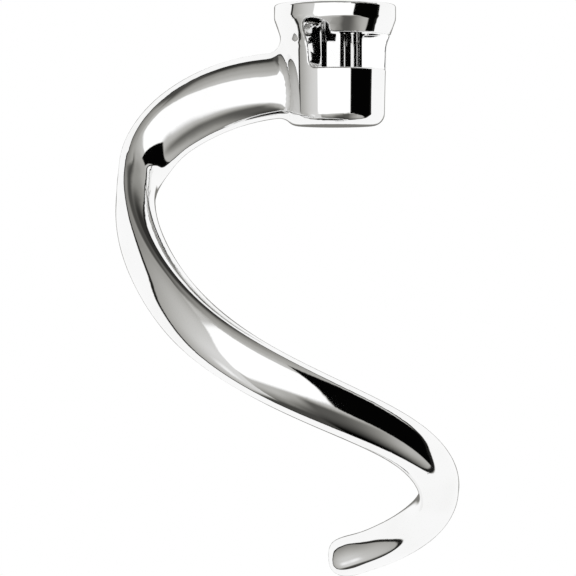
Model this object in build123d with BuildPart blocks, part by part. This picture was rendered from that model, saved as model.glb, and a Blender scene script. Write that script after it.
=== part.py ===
import os
from math import atan2, cos, degrees, hypot, pi, radians, sin, tan

from build123d import *

os.makedirs("parts", exist_ok=True)

# Drive shaft that the socket is made for, and the pin that sticks out of it on one side
SHAFT_RADIUS = 6.35
PIN_WIDTH = 4.8
PIN_REACH = 10.6
FIT_CLEARANCE = 0.1
PIN_CLEARANCE = 0.4

# Socket, whose straight wall starts at the origin and goes down
SOCKET_RADIUS = SHAFT_RADIUS + FIT_CLEARANCE
SOCKET_DEPTH = 23.7
MOUTH_CHAMFER = 0.8

# Collar round the socket, its drops measured from the top of the rim
RIM_TOP = MOUTH_CHAMFER
COLLAR_HEIGHT = 29.0
COLLAR_FOOT = RIM_TOP - COLLAR_HEIGHT
COLLAR_FOOT_RADIUS = 11.85
COLLAR_FOOT_ROUND = 3.0
WAIST_RADIUS = 12.3
WAIST_DROP = 10.0
WAIST_ROUND = 8.0
RIM_RADIUS = 14.6
RIM_DROP = 3.6
RIM_EDGE_ROUND = 0.8
RIM_FLARE_ROUND = 3.0

# Way in for the pin: a groove down from the mouth, a window round the front and a pocket at its end
GROOVE_WIDTH = PIN_WIDTH + 2 * PIN_CLEARANCE
GROOVE_REACH = PIN_REACH + PIN_CLEARANCE
GROOVE_ROUND = 1.0
GROOVE_ANGLE = 65.0
WINDOW_TOP = 7.35
WINDOW_FOOT = 15.5
WINDOW_END_ANGLE = 90.0
WINDOW_EDGE_ROUND = 0.5
POCKET_TOP = 4.05
POCKET_SIDE = 7.0
POCKET_ANGLE = -20.0
POCKET_SIDE_SPREAD = -14.6
POCKET_FOOT_SPREAD = -11.0
POCKET_CROWN_SPREAD = -1.0
POCKET_SLOPE_SPREAD = 12.5
POCKET_SHOULDER_SPREAD = 21.0
POCKET_LAP_SPREAD = 27.0
POCKET_FOOT_ROUND = 0.16

# How far a cut runs past the wall it goes through, and how near an edge has to be to count as the window's
CUT_LAP = 1.5
EDGE_MARGIN = 0.1
EDGE_ANGLE_MARGIN = 1.0

# How deep the arm starts inside the collar's wall
ROOT_DEPTH = 3.35

# Sections of the arm, from inside the collar's wall to the tip. Each one has its middle, with the drop
# taken from the top of the rim, then its width, and the angle that its flat inner face is tilted up by
ARM_STATIONS = [
    (ROOT_DEPTH - COLLAR_FOOT_RADIUS, 0.0, 19.1, 15.8, 13.7),
    (-22.4, -1.4, 20.9, 15.9, 3.1),
    (-34.7, -4.1, 26.3, 15.3, -6.4),
    (-41.2, -5.1, 31.6, 14.1, -10.5),
    (-45.5, -6.5, 38.5, 12.6, -13.4),
    (-47.3, -11.3, 47.9, 12.2, -9.2),
    (-43.2, -22.2, 62.4, 12.5, -4.6),
    (-32.1, -33.1, 76.7, 12.7, -7.2),
    (-14.8, -38.7, 88.2, 12.3, -6.3),
    (3.1, -34.5, 96.8, 11.7, -1.2),
    (18.1, -25.2, 105.4, 10.7, 2.8),
    (24.4, -11.8, 115.2, 9.9, 7.2),
    (20.5, 2.2, 124.1, 10.2, 11.2),
    (8.8, 13.6, 131.4, 9.7, 14.0),
    (-0.2, 19.0, 134.2, 9.4, 15.0),
]

# Form of each section: two corners across from each other are tight and two are soft
ARM_THICKNESS = 9.3
TIGHT_SQUARENESS = 2.9
SOFT_SQUARENESS = 2.1
CORNER_STEPS = 5
SECTION_COUNT = 41
TIP_ROUND = 3.0
TIP_STEPS = 3
ROOT_FILLET = 3.5


def quarter(across, along, squareness):
    """Points of one corner of the section, from its side to its top or foot."""
    turns = [pi / 2 * step / CORNER_STEPS for step in range(CORNER_STEPS + 1)]
    return [(across * cos(turn) ** (2 / squareness), along * sin(turn) ** (2 / squareness)) for turn in turns]


def on_window(edge):
    """Whether an edge of the collar's outside runs along the window or its pocket."""
    middle = edge @ 0.5
    angle = degrees(atan2(middle.X, -middle.Y))
    first_angle = POCKET_ANGLE + POCKET_SIDE_SPREAD - EDGE_ANGLE_MARGIN
    last_angle = WINDOW_END_ANGLE + EDGE_ANGLE_MARGIN
    return (
        hypot(middle.X, middle.Y) > COLLAR_FOOT_RADIUS
        and first_angle < angle < last_angle
        and RIM_TOP - WINDOW_FOOT - EDGE_MARGIN < middle.Z < RIM_TOP - POCKET_TOP + EDGE_MARGIN
        and edge.length < 2 * RIM_RADIUS
    )


arm_points = [(x, y, RIM_TOP - drop) for x, y, drop, width, tilt in ARM_STATIONS]
with BuildLine():
    arm_line = Spline(*arm_points)

# Width and tilt of the sections, drawn as a curve over the distance along the arm
with BuildLine():
    form_line = Spline(
        *[
            (arm_line.param_at_point(point) * arm_line.length, width, radians(tilt))
            for point, (x, y, drop, width, tilt) in zip(arm_points, ARM_STATIONS)
        ]
    )

tip_share = TIP_ROUND / arm_line.length
sections = [((1 - tip_share) * number / (SECTION_COUNT - 1), 0) for number in range(SECTION_COUNT)]
for step in range(1, TIP_STEPS + 1):
    turn = pi / 2 * step / TIP_STEPS
    sections.append((1 - tip_share * (1 - sin(turn)), TIP_ROUND * (1 - cos(turn))))

pocket_turn = radians(POCKET_ANGLE)
pocket_way = Vector(sin(pocket_turn), -cos(pocket_turn), 0)
pocket_side = Vector(cos(pocket_turn), sin(pocket_turn), 0)
groove_turn = radians(GROOVE_ANGLE)
groove_way = Vector(sin(groove_turn), -cos(groove_turn), 0)

with BuildPart() as dough_hook:
    # Arm
    for share, inset in sections:
        _, width, tilt = form_line @ share
        heading = arm_line % share
        inward = Vector(0, 0, 1).cross(heading).normalized()
        across = inward * cos(tilt) + heading.cross(inward) * sin(tilt)
        half = ARM_THICKNESS / 2 - inset
        tall = width / 2 - inset
        with BuildSketch(Plane(arm_line @ share, x_dir=across, z_dir=heading)):
            with BuildLine():
                Spline(*quarter(half, tall, SOFT_SQUARENESS), tangents=[(0, 1), (-1, 0)])
                Spline(*quarter(-half, tall, TIGHT_SQUARENESS)[::-1], tangents=[(-1, 0), (0, -1)])
                Spline(*quarter(-half, -tall, SOFT_SQUARENESS), tangents=[(0, -1), (1, 0)])
                Spline(*quarter(half, -tall, TIGHT_SQUARENESS)[::-1], tangents=[(1, 0), (0, 1)])
            make_face()
    loft()

    # Collar, blended into the arm
    with BuildSketch(Plane.YZ) as collar_half:
        with BuildLine():
            Polyline(
                (0, RIM_TOP),
                (RIM_RADIUS, RIM_TOP),
                (RIM_RADIUS, RIM_TOP - RIM_DROP),
                (WAIST_RADIUS, RIM_TOP - WAIST_DROP),
                (COLLAR_FOOT_RADIUS, COLLAR_FOOT),
                (0, COLLAR_FOOT),
                close=True,
            )
        make_face()
        for corner, rounding in (
            ((RIM_RADIUS, RIM_TOP), RIM_EDGE_ROUND),
            ((RIM_RADIUS, RIM_TOP - RIM_DROP), RIM_FLARE_ROUND),
            ((WAIST_RADIUS, RIM_TOP - WAIST_DROP), WAIST_ROUND),
            ((COLLAR_FOOT_RADIUS, COLLAR_FOOT), COLLAR_FOOT_ROUND),
        ):
            fillet(collar_half.vertices().sort_by_distance(corner)[0], rounding)
    revolve(axis=Axis.Z)
    collar_edges = dough_hook.edges().filter_by_position(Axis.Z, COLLAR_FOOT, RIM_TOP)
    root_edges = collar_edges.filter_by(GeomType.BSPLINE).filter_by_position(Axis.X, -RIM_RADIUS, 0)
    fillet(root_edges, ROOT_FILLET)

    # Socket for the shaft
    with BuildSketch(Plane.XY.offset(RIM_TOP)):
        Circle(SOCKET_RADIUS)
    extrude(amount=-RIM_TOP - SOCKET_DEPTH, mode=Mode.SUBTRACT)
    mouth = dough_hook.edges().filter_by(GeomType.CIRCLE).filter_by_position(Axis.Z, RIM_TOP, RIM_TOP)
    chamfer(mouth.sort_by(SortBy.RADIUS)[0], MOUTH_CHAMFER)

    # Groove that lets the pin in
    with BuildSketch(Plane((0, 0, RIM_TOP), x_dir=groove_way, z_dir=(0, 0, 1))) as groove:
        with Locations((GROOVE_REACH / 2, 0)):
            Rectangle(GROOVE_REACH, GROOVE_WIDTH)
        fillet(groove.vertices().sort_by_distance((GROOVE_REACH, 0))[:2], GROOVE_ROUND)
    extrude(amount=-WINDOW_TOP - CUT_LAP, mode=Mode.SUBTRACT)

    # Window that the pin turns in, from the pocket round to the side
    with BuildSketch(Plane((0, 0, RIM_TOP), x_dir=pocket_way, z_dir=-pocket_side)):
        with BuildLine():
            Polyline(
                (SOCKET_RADIUS - CUT_LAP, -WINDOW_FOOT),
                (RIM_RADIUS + CUT_LAP, -WINDOW_FOOT),
                (RIM_RADIUS + CUT_LAP, -WINDOW_TOP),
                (SOCKET_RADIUS - CUT_LAP, -WINDOW_TOP),
                close=True,
            )
        make_face()
    revolve(axis=Axis.Z, revolution_arc=WINDOW_END_ANGLE - POCKET_ANGLE, mode=Mode.SUBTRACT)

    # Pocket that the pin sits up in
    for distance in (SOCKET_RADIUS - CUT_LAP, RIM_RADIUS + CUT_LAP):
        spread = [
            distance * tan(radians(angle))
            for angle in (
                POCKET_FOOT_SPREAD,
                POCKET_SIDE_SPREAD,
                POCKET_CROWN_SPREAD,
                POCKET_SLOPE_SPREAD,
                POCKET_SHOULDER_SPREAD,
                POCKET_LAP_SPREAD,
            )
        ]
        with BuildSketch(
            Plane(pocket_way * distance + Vector(0, 0, RIM_TOP), x_dir=pocket_side, z_dir=pocket_way)
        ) as pocket:
            with BuildLine():
                Line((spread[0], -WINDOW_FOOT), (spread[1], -POCKET_SIDE))
                Spline(
                    (spread[1], -POCKET_SIDE),
                    (spread[2], -POCKET_TOP),
                    (spread[3], -(POCKET_TOP + WINDOW_TOP) / 2),
                    (spread[4], -WINDOW_TOP),
                    tangents=[(0, 1), (1, 0)],
                )
                Polyline((spread[4], -WINDOW_TOP), (spread[5], -WINDOW_TOP), (spread[5], -WINDOW_FOOT))
                Line((spread[5], -WINDOW_FOOT), (spread[0], -WINDOW_FOOT))
            make_face()
            foot_corner = pocket.vertices().sort_by_distance((spread[0], -WINDOW_FOOT))[0]
            fillet(foot_corner, POCKET_FOOT_ROUND * distance)
    loft(mode=Mode.SUBTRACT)

    # Rounded outer edges of the window and pocket
    window_edges = dough_hook.edges().filter_by(on_window)
    fillet(window_edges, WINDOW_EDGE_ROUND)

dough_hook.part.label = "dough_hook"
export_step(dough_hook.part, "parts/dough_hook.step")
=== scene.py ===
# %% [markdown]
# A dough hook is one casting: a collar with a socket for the mixer's shaft, and an arm that winds down
# below it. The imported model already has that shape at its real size, so the lesson loads it and doesn't
# model it again. Its box is kept, to be set beside the box of the finished model at the end.

# %% Load the hook
from math import degrees, radians

import bmesh
import bpy
import numpy as np
from mathutils.kdtree import KDTree
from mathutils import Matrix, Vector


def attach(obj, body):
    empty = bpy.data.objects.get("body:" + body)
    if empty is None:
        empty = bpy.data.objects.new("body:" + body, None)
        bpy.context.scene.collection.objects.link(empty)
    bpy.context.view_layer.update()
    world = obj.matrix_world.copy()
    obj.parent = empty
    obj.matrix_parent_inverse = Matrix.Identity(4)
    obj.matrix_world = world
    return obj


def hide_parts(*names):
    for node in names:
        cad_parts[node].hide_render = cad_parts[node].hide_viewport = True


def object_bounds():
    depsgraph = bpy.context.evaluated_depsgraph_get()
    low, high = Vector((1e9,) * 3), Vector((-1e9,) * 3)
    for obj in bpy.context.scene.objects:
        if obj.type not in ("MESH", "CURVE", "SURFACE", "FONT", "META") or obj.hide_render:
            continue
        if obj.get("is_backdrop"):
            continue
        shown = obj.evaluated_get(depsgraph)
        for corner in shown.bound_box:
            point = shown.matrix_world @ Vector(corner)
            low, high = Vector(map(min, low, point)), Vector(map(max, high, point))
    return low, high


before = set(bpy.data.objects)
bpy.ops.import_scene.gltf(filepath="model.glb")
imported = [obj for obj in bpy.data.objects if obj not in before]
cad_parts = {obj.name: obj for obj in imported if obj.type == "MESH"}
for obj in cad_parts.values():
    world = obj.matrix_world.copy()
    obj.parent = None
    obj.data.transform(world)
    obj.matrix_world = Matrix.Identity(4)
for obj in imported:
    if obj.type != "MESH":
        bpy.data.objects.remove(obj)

MM = 1000

cad_low, cad_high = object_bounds()
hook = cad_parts["dough_hook"]
print("hook box, mm:", [round(MM * size, 1) for size in cad_high - cad_low])
print("hook facets:", len(hook.data.polygons))

# %% [markdown]
# A mirror finish shows every fault in the way that the facets face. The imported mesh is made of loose
# triangles. They could be smoothed as they are, but each seam would show as a crease. So a copy is taken
# and its doubled corners are merged, which makes one closed skin for the whole casting. Edges that turn
# by more than thirty degrees, such as those of the socket's mouth, stay crisp. All others are smooth.

# %% Copy the hook as one closed skin
MERGE_DISTANCE = 2e-6
CRISP_ANGLE = radians(30)


def new_object(name, shape):
    """Puts a bmesh into the scene as an object of its own."""
    mesh = bpy.data.meshes.new(name)
    shape.to_mesh(mesh)
    shape.free()
    thing = bpy.data.objects.new(name, mesh)
    bpy.context.scene.collection.objects.link(thing)
    return thing


def closed_skin(source, name):
    shape = bmesh.new()
    shape.from_mesh(source.data)
    bmesh.ops.remove_doubles(shape, verts=shape.verts, dist=MERGE_DISTANCE)
    bmesh.ops.recalc_face_normals(shape, faces=shape.faces)
    for face in shape.faces:
        face.smooth = True
    for edge in shape.edges:
        edge.smooth = edge.calc_face_angle(0.0) < CRISP_ANGLE
    open_edges = sum(1 for edge in shape.edges if len(edge.link_faces) != 2)
    print("skin corners:", len(shape.verts), "facets:", len(shape.faces), "open edges:", open_edges)
    return new_object(name, shape)


skin = closed_skin(hook, "hook_skin")

# %% [markdown]
# Each corner of the skin lies on the true surface, but the mean of the facets round it doesn't face quite
# the right way, because some of them are long and thin. A mirror would show that as ripples. A small
# bowl-shaped patch fitted through the nearest corners gives a better direction. It is a least squares fit
# in which near corners count for more than far ones. A second fit then evens out the directions, so that
# one poor patch doesn't show.

# %% Fit small patches through the corners
NEIGHBOURS = 48
FIT_ROUNDS = 3
# The share of a patch's reach at which a corner's weight has dropped to about a third.
WEIGHT_REACH = 0.5
# Keeps a fit solvable where the corners of a patch lie almost in a line.
STEADYING = 1e-6
# Stands in for a length of zero, which can't be divided by.
SHORTEST = 1e-12


def unit(rows):
    return rows / np.maximum(np.linalg.norm(rows, axis=-1, keepdims=True), SHORTEST)


def nearest_corners(places, chosen):
    """The numbers of the corners nearest to each chosen one, the farthest of them last."""
    tree = KDTree(len(places))
    for number, place in enumerate(places):
        tree.insert(place, number)
    tree.balance()
    return np.array([[found[1] for found in tree.find_n(places[number], NEIGHBOURS)] for number in chosen])


def weighted_fit(terms, weight, values):
    """How much of each term adds up to the values, by least squares, for all patches at once."""
    left = np.einsum("nki,nk,nkj->nij", terms, weight, terms) + STEADYING * np.eye(terms.shape[2])
    right = np.einsum("nki,nk,nkj->nij", terms, weight, values)
    return np.linalg.solve(left, right)


def patch_normals(places, facing, chosen):
    """Directions of bowl-shaped patches fitted through the nearest corners of the chosen ones."""
    near = nearest_corners(places, chosen)
    offsets = places[near] - places[chosen][:, None]
    spread = np.linalg.norm(offsets, axis=2)
    reach = spread[:, -1:]
    weight = np.exp(-((spread / (WEIGHT_REACH * reach)) ** 2))
    normals = facing[chosen]
    for _ in range(FIT_ROUNDS):
        across = unit(np.cross(normals, np.eye(3)[np.abs(normals).argmin(1)]))
        along = np.cross(normals, across)
        u, v, rise = (np.einsum("nki,ni->nk", offsets, way) / reach for way in (across, along, normals))
        terms = np.stack([u, v, u * u, u * v, v * v], axis=2)
        slopes = weighted_fit(terms, weight, rise[..., None])[..., 0]
        normals = unit(normals - slopes[:, :1] * across - slopes[:, 1:2] * along)
    fitted = facing.copy()
    fitted[chosen] = normals
    terms = np.concatenate([np.ones_like(terms[..., :1]), terms], axis=2)
    return unit(weighted_fit(terms, weight, fitted[near])[:, 0])


print("corners in a patch:", NEIGHBOURS)

# %% [markdown]
# The arm is closely meshed, so its corners take their directions from the patches. The collar has only a
# few long facets, but its tapered wall and the bore are round about the socket's axis, so their
# directions are known. Elsewhere the mean of the facets does, with large facets counting for much more
# than small ones. A crisp corner is left at zero, which tells Blender to work it out from the edges that
# stay crisp.

# %% Face each corner the right way
# The arm is what lies left of ARM_SIDE and below ARM_TOP, and all that hangs below UNDER_COLLAR.
ARM_SIDE = -0.0119
ARM_TOP = -0.0100
UNDER_COLLAR = -0.0290
# The tapered wall runs from the collar's foot up to its waist. WALL_RADIUS is where it would be at the
# origin's height, if it went on.
FOOT_RADIUS = 0.01185
FOOT_HEIGHT = -0.0282
WAIST_RADIUS = 0.0123
WAIST_HEIGHT = -0.0092
WALL_TAPER = (WAIST_RADIUS - FOOT_RADIUS) / (WAIST_HEIGHT - FOOT_HEIGHT)
WALL_RADIUS = WAIST_RADIUS - WALL_TAPER * WAIST_HEIGHT
BORE_RADIUS = 0.00645
TURNED_SLACK = 2e-5
OUTWARD = 1.0
INWARD = -1.0
TURNED_FACES = [(WALL_RADIUS, WALL_TAPER, OUTWARD), (BORE_RADIUS, 0.0, INWARD)]


def facet_means(mesh, places, faces):
    """The mean direction of the facets round each corner, weighted by the square of their area in mm2."""
    pull = np.array([face.normal[:] for face in mesh.polygons])
    pull *= np.array([[(MM * MM * face.area) ** 2] for face in mesh.polygons])
    facing = np.zeros_like(places)
    for side in range(3):
        np.add.at(facing, faces[:, side], pull)
    return unit(facing)


def crisp_corners(mesh):
    crisp = np.zeros(len(mesh.vertices), bool)
    for edge in mesh.edges:
        if edge.use_edge_sharp:
            crisp[list(edge.vertices)] = True
    return crisp


def face_corners(mesh):
    places = np.array([vertex.co[:] for vertex in mesh.vertices])
    faces = np.array([face.vertices[:] for face in mesh.polygons])
    facing = facet_means(mesh, places, faces)
    crisp = crisp_corners(mesh)
    x, y, z = places.T
    on_arm = ((x < ARM_SIDE) & (z < ARM_TOP)) | (z < UNDER_COLLAR)
    chosen = np.flatnonzero(on_arm & ~crisp)
    facing[chosen] = patch_normals(places, facing, chosen)
    corners = facing[faces]
    corners[crisp[faces]] = 0.0
    from_axis = np.hypot(x, y)
    for radius, taper, way in TURNED_FACES:
        turned = np.abs(from_axis - radius - taper * z) < TURNED_SLACK
        exact = unit(way * np.column_stack([x, y, -taper * from_axis]))
        smooth = (turned & ~crisp)[faces]
        corners[smooth] = exact[faces[smooth]]
        # A facet that lies wholly on the turned face takes its direction at crisp corners too.
        whole = turned[faces].all(axis=1)
        corners[whole] = exact[faces[whole]]
        print("turned facets at radius", round(MM * radius, 2), "mm:", int(whole.sum()))
    mesh.normals_split_custom_set(corners.reshape(-1, 3).tolist())
    print("corners faced by patches:", len(chosen), "crisp:", int(crisp.sum()))


face_corners(skin.data)
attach(skin, "root")
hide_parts("dough_hook")

# %% [markdown]
# Shader maths reads best as plain sums. This small class wraps a socket, so that adding or multiplying
# two of them adds the Math node that does it. One method makes any other node. In it, n0, n1 and so on
# name a socket by number, and any other word names it by its label.


# %% Write shader maths as expressions
class Wire:
    def __init__(self, tree, socket):
        self.tree = tree
        self.socket = socket

    def node(self, kind, settings=None, output=0, **inputs):
        made = self.tree.nodes.new(kind)
        for name, value in (settings or {}).items():
            setattr(made, name, value)
        for name, value in inputs.items():
            numbered = name[0] == "n" and name[1:].isdigit()
            key = int(name[1:]) if numbered else name.replace("_", " ")
            self.plug(value, made.inputs[key])
        return Wire(self.tree, made.outputs[output] if made.outputs else None)

    def plug(self, value, socket):
        if isinstance(value, Wire):
            self.tree.links.new(value.socket, socket)
        else:
            socket.default_value = value

    def maths(self, operation, *values):
        inputs = {f"n{place}": value for place, value in enumerate(values)}
        return self.node("ShaderNodeMath", {"operation": operation}, **inputs)

    def step(self, low, high):
        """0 below low and 1 above high, with a soft change between them."""
        settings = {"interpolation_type": "SMOOTHSTEP"}
        return self.node("ShaderNodeMapRange", settings, Value=self, From_Min=low, From_Max=high)

    def blend(self, first, second):
        """The first colour where this value is 0 and the second where it is 1."""
        return self.node("ShaderNodeMix", {"data_type": "RGBA"}, output=2, n0=self, n6=first, n7=second)

    def __add__(self, other):
        return self.maths("ADD", self, other)

    def __radd__(self, other):
        return self.maths("ADD", other, self)

    def __sub__(self, other):
        return self.maths("SUBTRACT", self, other)

    def __rsub__(self, other):
        return self.maths("SUBTRACT", other, self)

    def __mul__(self, other):
        return self.maths("MULTIPLY", self, other)

    def __rmul__(self, other):
        return self.maths("MULTIPLY", other, self)


def new_material(name):
    material = bpy.data.materials.new(name)
    material.use_nodes = True
    material.node_tree.nodes.clear()
    return material, Wire(material.node_tree, None)


print("shader helper ready")

# %% [markdown]
# The hook is cast stainless steel, ground and then buffed until it mirrors the room. Buffing leaves a
# faint haze that comes and goes and a fine grain. Both are so weak here that they only soften the
# reflections a little: a polished part that looks scratched would be a worn one. The socket's bore is as
# bright as the outside, so one finish does for the whole casting.

# %% Polish the steel
STEEL_BRIGHT = (0.92, 0.92, 0.92, 1.0)
STEEL_HAZY = (0.885, 0.885, 0.88, 1.0)
POLISH = 0.035
HAZE = 0.03
HAZE_SCALE = 60.0
HAZE_DETAIL = 3.0
# The haze starts at the first level of the noise and is full at the second.
HAZE_RANGE = (0.4, 0.75)
GRAIN = 0.006
GRAIN_SCALE = 2500.0
GRAIN_DETAIL = 1.0


def polished_steel():
    material, make = new_material("polished_steel")
    place = make.node("ShaderNodeTexCoord", output="Object")
    cloud = make.node("ShaderNodeTexNoise", Vector=place, Scale=HAZE_SCALE, Detail=HAZE_DETAIL)
    grain = make.node("ShaderNodeTexNoise", Vector=place, Scale=GRAIN_SCALE, Detail=GRAIN_DETAIL)
    haze = cloud.step(*HAZE_RANGE)
    color = haze.blend(STEEL_BRIGHT, STEEL_HAZY)
    roughness = POLISH + HAZE * haze + GRAIN * grain
    surface = make.node("ShaderNodeBsdfPrincipled", Base_Color=color, Metallic=1.0, Roughness=roughness)
    make.node("ShaderNodeOutputMaterial", Surface=surface)
    return material


skin.data.materials.clear()
skin.data.materials.append(polished_steel())
print("material:", skin.data.materials[0].name)

# %% [markdown]
# Polished metal has no look of its own: it shows the studio. The studio here is a light tent, a dome of
# white cloth round the hook. A picture of a real studio could stand in for it, but panels that are worked
# out can be named and moved. A point of the tent is known by its bearing, which is 0 behind the camera
# and grows to the right, by its height above the tent's middle, and by its angle off the camera's axis.
# All three are in degrees.

# %% Measure places on the tent
TENT_RADIUS = 3.0
DEGREES = degrees(1)


def tent_angles(make):
    place = make.node("ShaderNodeTexCoord", output="Object")
    split = make.node("ShaderNodeSeparateXYZ", Vector=place)
    x, y, z = (Wire(make.tree, socket) for socket in split.socket.node.outputs)
    toward = -1.0 * y
    bearing = DEGREES * make.maths("ARCTAN2", x, toward)
    height = DEGREES * make.maths("ARCSINE", z * (1 / TENT_RADIUS))
    off_axis = DEGREES * make.maths("ARCCOSINE", toward * (1 / TENT_RADIUS))
    return bearing, height, off_axis


# An edge is a pair of angles. The cloth changes softly from the first to the second.
def above(value, edge):
    return value.step(*edge)


def below(value, edge):
    return 1.0 - value.step(*edge)


def inside(value, low_edge, high_edge):
    return above(value, low_edge) * below(value, high_edge)


def lay(cloth, panel, level):
    """Covers the cloth with a level of brightness where the panel is 1."""
    return cloth + panel * (level - cloth)


print("tent radius, m:", TENT_RADIUS)

# %% [markdown]
# The cloth is mid grey at the level of the hook. It gets darker overhead, with a dim patch high on the
# left, and darker towards the table, more so on the right. These slow changes give the soft greys along
# the arm.

# %% Shade the cloth
CLOTH_LEVEL = 0.57
# Each pair is an edge and how much the cloth loses above it.
ROOF_LOSSES = [((32, 46), 0.15), ((46, 64), 0.14), ((62, 78), 0.25)]
RIGHT_SIDE = (-14, 10)
SKIRT_TOP = (-28, -4)
SKIRT_LEVEL = 0.50
SKIRT_RIGHT_LOSS = 0.10
HEM_START = -50
HEM_END = -30
HEM_RIGHT_RISE = 8
HEM_LEVEL = 0.26
HEM_RIGHT_LOSS = 0.16
FLOOR_TOP = (-64, -48)
FLOOR_LEVEL = 0.06
DIM_RIGHT = (-44, -8)
DIM_BOTTOM = (40, 52)
DIM_TOP = (74, 86)
DIM_LEVEL = 0.07


def shaded_cloth(bearing, height):
    cloth = CLOTH_LEVEL
    for edge, loss in ROOF_LOSSES:
        cloth = cloth - loss * above(height, edge)
    right = above(bearing, RIGHT_SIDE)
    cloth = lay(cloth, below(height, SKIRT_TOP), SKIRT_LEVEL - SKIRT_RIGHT_LOSS * right)
    hem_top = (HEM_START, HEM_END + HEM_RIGHT_RISE * right)
    cloth = lay(cloth, below(height, hem_top), HEM_LEVEL - HEM_RIGHT_LOSS * right)
    cloth = lay(cloth, below(height, FLOOR_TOP), FLOOR_LEVEL)
    dim = below(bearing, DIM_RIGHT) * inside(height, DIM_BOTTOM, DIM_TOP)
    return lay(cloth, dim, DIM_LEVEL)


print("cloth levels:", CLOTH_LEVEL, SKIRT_LEVEL, HEM_LEVEL, FLOOR_LEVEL)

# %% [markdown]
# A grey panel on the left gives the broad grey faces of the arm. It is darker to the far left and towards
# its top. A small patch of light low down in front of it makes the glint on the arm's tip. A dark card
# low on the right gets lighter towards the side, and shades the underside of the arm.

# %% Hang the side panels
GREY_RIGHT = (-42, -38)
GREY_BOTTOM = (-64, -52)
GREY_TOP = (46, 58)
GREY_LEVEL = 0.36
GREY_NEAR = (-98, -44)
GREY_NEAR_GAIN = 0.36
GREY_UPPER = (-8, 46)
GREY_UPPER_LOSS = 0.48
GLINT_LEFT = (-66, -58)
GLINT_RIGHT = (-57, -49)
GLINT_BOTTOM = (-45, -31)
GLINT_TOP = (-29, -15)
GLINT_LEVEL = 0.95
LOW_CARD_LEFT = (6, 18)
LOW_CARD_TOP = (-24, -12)
LOW_CARD_LEVEL = 0.10
LOW_CARD_SIDE = (28, 66)
LOW_CARD_SIDE_GAIN = 0.38
LOW_CARD_UPPER = (-78, -34)


def side_panels(cloth, bearing, height):
    grey_level = GREY_LEVEL + GREY_NEAR_GAIN * above(bearing, GREY_NEAR)
    grey_level = grey_level * (1.0 - GREY_UPPER_LOSS * above(height, GREY_UPPER))
    grey = below(bearing, GREY_RIGHT) * inside(height, GREY_BOTTOM, GREY_TOP)
    cloth = lay(cloth, grey, grey_level)
    glint = inside(bearing, GLINT_LEFT, GLINT_RIGHT) * inside(height, GLINT_BOTTOM, GLINT_TOP)
    cloth = lay(cloth, glint, GLINT_LEVEL)
    card_level = LOW_CARD_LEVEL + LOW_CARD_SIDE_GAIN * above(bearing, LOW_CARD_SIDE)
    card_level = card_level * above(height, LOW_CARD_UPPER)
    card = above(bearing, LOW_CARD_LEFT) * below(height, LOW_CARD_TOP)
    return lay(cloth, card, card_level)


print("grey panel, glint and card levels:", GREY_LEVEL, GLINT_LEVEL, LOW_CARD_LEVEL)

# %% [markdown]
# A bright window stands behind the camera and makes the white streaks. Its top and bottom slope a little,
# and its corners on the left are cut off. A black panel stands at its right edge and makes the black
# streak down the arm. The two meet in a hard line, which is what makes the steel look like a mirror and
# not like grey paint.

# %% Open the window and hang the black panel
WINDOW_LEFT = (-42.2, -39.8)
WINDOW_RIGHT = (33.3, 35.7)
WINDOW_TOP = (31.5, 34.5)
WINDOW_TOP_SLOPE = 0.15
WINDOW_BOTTOM = (-20, -12)
WINDOW_BOTTOM_SLOPE = 0.25
WINDOW_UPPER_CORNER = (57, 64)
WINDOW_LOWER_CORNER = (-62, -55)
WINDOW_LEVEL = 1.12
BLACK_LEFT = (34.5, 36)
BLACK_BOTTOM = (9, 12)
BLACK_BOTTOM_SLOPE = 0.55
BLACK_RIGHT = (90, 93)
BLACK_RIGHT_SLOPE = 0.45
BLACK_TOP = (37, 42)
BLACK_LEVEL = 0.001


def bright_window(bearing, height):
    top = below(height + WINDOW_TOP_SLOPE * bearing, WINDOW_TOP)
    bottom = above(height - WINDOW_BOTTOM_SLOPE * bearing, WINDOW_BOTTOM)
    corners = below(height - bearing, WINDOW_UPPER_CORNER) * above(height + bearing, WINDOW_LOWER_CORNER)
    return inside(bearing, WINDOW_LEFT, WINDOW_RIGHT) * top * bottom * corners


def black_panel(bearing, height):
    bottom = above(height + BLACK_BOTTOM_SLOPE * bearing, BLACK_BOTTOM)
    upper_height = height.maths("MAXIMUM", height, 0.0)
    right = below(bearing + BLACK_RIGHT_SLOPE * upper_height, BLACK_RIGHT)
    return above(bearing, BLACK_LEFT) * bottom * right * below(height, BLACK_TOP)


print("window and black panel levels:", WINDOW_LEVEL, BLACK_LEVEL)

# %% [markdown]
# The back of the tent is white, so the hook's rounded edges fade into a white ring. A thin black hoop
# parts the front from the back and draws a dark line round the hook's faces. A grey spot straight behind
# the hook draws the fine outline of its silhouette. Without these three, white steel on a white ground
# would have no edge.

# %% Close the back of the tent
BACK_START = (90.5, 92.5)
BACK_LEVEL = 1.02
SPOT_START = (154, 166)
SPOT_LEVEL = 0.2
HOOP_FRONT = (86, 88)
HOOP_BACK = (90.5, 92.5)
HOOP_LEVEL = 0.012


def closed_back(cloth, off_axis):
    cloth = lay(cloth, above(off_axis, BACK_START), BACK_LEVEL)
    cloth = lay(cloth, above(off_axis, SPOT_START), SPOT_LEVEL)
    return lay(cloth, inside(off_axis, HOOP_FRONT, HOOP_BACK), HOOP_LEVEL)


print("back, spot and hoop levels:", BACK_LEVEL, SPOT_LEVEL, HOOP_LEVEL)

# %% [markdown]
# The tent is a large ball whose inside glows. Lamps that shine through cloth could do the same, but a
# surface that glows by itself is simpler. Its greys are a little warm and its white is plain. Only mirrors
# see it, so the picture's own background stays plain white and the tent puts no light on the table.

# %% Sew the light tent
TENT_COLUMNS = 96
TENT_ROWS = 48
WARM_RED = 1.02
WARM_BLUE = 0.93
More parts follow.
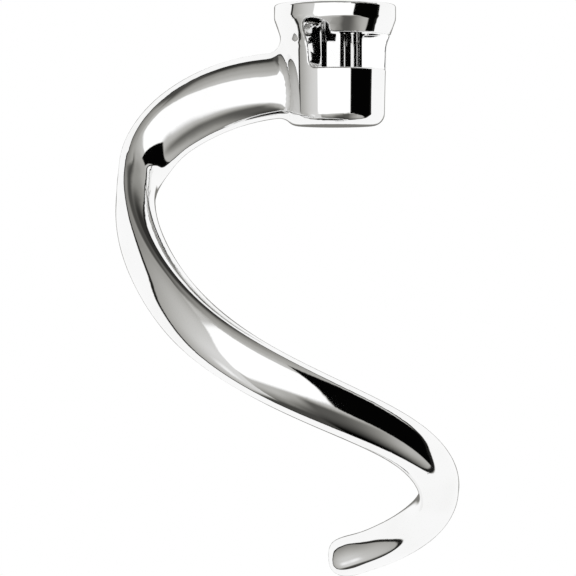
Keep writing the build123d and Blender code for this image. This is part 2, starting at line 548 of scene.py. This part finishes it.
# Below the first level a grey is fully warm. Above the second it is plain white.
WARM_RANGE = (0.05, 0.95)


def tent_light(make):
    bearing, height, off_axis = tent_angles(make)
    cloth = shaded_cloth(bearing, height)
    cloth = side_panels(cloth, bearing, height)
    cloth = lay(cloth, bright_window(bearing, height), WINDOW_LEVEL)
    cloth = lay(cloth, black_panel(bearing, height), BLACK_LEVEL)
    return closed_back(cloth, off_axis)


def tent_cloth():
    material, make = new_material("tent_cloth")
    level = tent_light(make)
    plain = level.step(*WARM_RANGE)
    red = level * (WARM_RED + (1.0 - WARM_RED) * plain)
    blue = level * (WARM_BLUE + (1.0 - WARM_BLUE) * plain)
    color = make.node("ShaderNodeCombineColor", Red=red, Green=level, Blue=blue)
    glow = make.node("ShaderNodeEmission", Color=color, Strength=1.0)
    make.node("ShaderNodeOutputMaterial", Surface=glow)
    return material


def light_tent():
    shape = bmesh.new()
    bmesh.ops.create_uvsphere(shape, u_segments=TENT_COLUMNS, v_segments=TENT_ROWS, radius=TENT_RADIUS)
    bmesh.ops.reverse_faces(shape, faces=shape.faces)
    for face in shape.faces:
        face.smooth = True
    tent = new_object("light_tent", shape)
    tent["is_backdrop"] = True
    tent.data.materials.append(tent_cloth())
    tent.visible_camera = False
    tent.visible_diffuse = False
    tent.visible_transmission = False
    tent.visible_shadow = False
    print("tent facets:", len(tent.data.polygons))


light_tent()

# %% [markdown]
# A pale round table stands below the hook and takes its soft shadow. It could reach to the horizon, but
# it is kept small enough to stay out of the picture from the front, where the background is plain white.
# It shows when the hook is seen from above.

# %% Set the table
TABLE_DROP = 0.060
TABLE_RADIUS = 0.30
TABLE_SIDES = 128
TABLE_DARK = (0.86, 0.86, 0.86, 1)
TABLE_PALE = (0.9, 0.9, 0.9, 1)
TABLE_GRAIN_SCALE = 800.0
TABLE_GRAIN_DETAIL = 2.0
TABLE_ROUGHNESS = 0.9


def pale_card():
    material, make = new_material("pale_card")
    place = make.node("ShaderNodeTexCoord", output="Object")
    grain = make.node("ShaderNodeTexNoise", Vector=place, Scale=TABLE_GRAIN_SCALE, Detail=TABLE_GRAIN_DETAIL)
    color = grain.blend(TABLE_DARK, TABLE_PALE)
    surface = make.node("ShaderNodeBsdfPrincipled", Base_Color=color, Roughness=TABLE_ROUGHNESS)
    make.node("ShaderNodeOutputMaterial", Surface=surface)
    return material


def pale_table(top):
    shape = bmesh.new()
    bmesh.ops.create_circle(shape, cap_ends=True, segments=TABLE_SIDES, radius=TABLE_RADIUS)
    bmesh.ops.translate(shape, verts=shape.verts, vec=(0, 0, top))
    table = new_object("table", shape)
    table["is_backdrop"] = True
    table.data.materials.append(pale_card())
    table.visible_glossy = False
    print("table top, mm:", round(MM * top, 1))


pale_table(cad_low.z - TABLE_DROP)

# %% [markdown]
# The room round it all is white: rays from the camera and from mirrors see full white, and dull surfaces
# get about half of it. A round soft lamp overhead brings the rest, so that the hook's shadow falls on the
# table.

# %% Light the room
WHITE = (1, 1, 1, 1)
ROOM_LIGHT = 0.55
LAMP_POWER = 3.0
LAMP_SIZE = 0.15
LAMP_PLACE = (0.1, -0.15, 0.5)
LAMP_TILT = (radians(15), radians(10), 0)


def white_room():
    world = bpy.data.worlds.new("white_room")
    world.use_nodes = True
    world.node_tree.nodes.clear()
    make = Wire(world.node_tree, None)
    seen = make.node("ShaderNodeLightPath", output="Is Camera Ray")
    mirrored = make.node("ShaderNodeLightPath", output="Is Glossy Ray")
    passed = make.node("ShaderNodeLightPath", output="Is Transmission Ray")
    plain = make.maths("MINIMUM", seen + mirrored + passed, 1.0)
    strength = ROOM_LIGHT + (1.0 - ROOM_LIGHT) * plain
    ground = make.node("ShaderNodeBackground", Color=WHITE, Strength=strength)
    make.node("ShaderNodeOutputWorld", Surface=ground)
    bpy.context.scene.world = world


def soft_lamp():
    data = bpy.data.lights.new("soft_lamp", "AREA")
    data.shape = "DISK"
    data.size = LAMP_SIZE
    data.energy = LAMP_POWER
    lamp = bpy.data.objects.new("soft_lamp", data)
    bpy.context.scene.collection.objects.link(lamp)
    lamp.location = LAMP_PLACE
    lamp.rotation_euler = LAMP_TILT
    lamp.visible_glossy = False
    print("lamp power, W:", LAMP_POWER)


white_room()
soft_lamp()

# %% [markdown]
# The camera stands level with the middle of the hook and looks straight at its front through a long lens,
# which is how catalogue pictures are taken: upright lines stay upright and the near bend isn't swollen.
# The lens follows from how far away the camera is and from how much of the hook one pixel of the picture
# shows.

# %% Place the camera
CAMERA_DISTANCE = 0.850
CAMERA_SIDE = -0.01126
CAMERA_HEIGHT = -0.0670
PIXEL_SIZE = 0.2395e-3
PICTURE = 576
SENSOR = 36.0


def front_camera():
    data = bpy.data.cameras.new("camera")
    data.sensor_width = SENSOR
    data.lens = SENSOR * CAMERA_DISTANCE / (PICTURE * PIXEL_SIZE)
    camera = bpy.data.objects.new("camera", data)
    bpy.context.scene.collection.objects.link(camera)
    camera.location = (CAMERA_SIDE, -CAMERA_DISTANCE, CAMERA_HEIGHT)
    camera.rotation_euler = (radians(90), 0, 0)
    bpy.context.scene.camera = camera
    print("lens, mm:", round(data.lens, 1))


front_camera()
bpy.context.scene.view_settings.view_transform = "Standard"

# %% [markdown]
# Last, the box of the finished model is set beside the first one, and the largest change between them is
# printed.
# The two have to agree, because dressing the hook must not change its size.

# %% Compare the boxes and finish
new_low, new_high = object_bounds()
change = max(map(abs, [*(new_low - cad_low), *(new_high - cad_high)]))
print("largest change of the box, mm:", round(MM * change, 4))
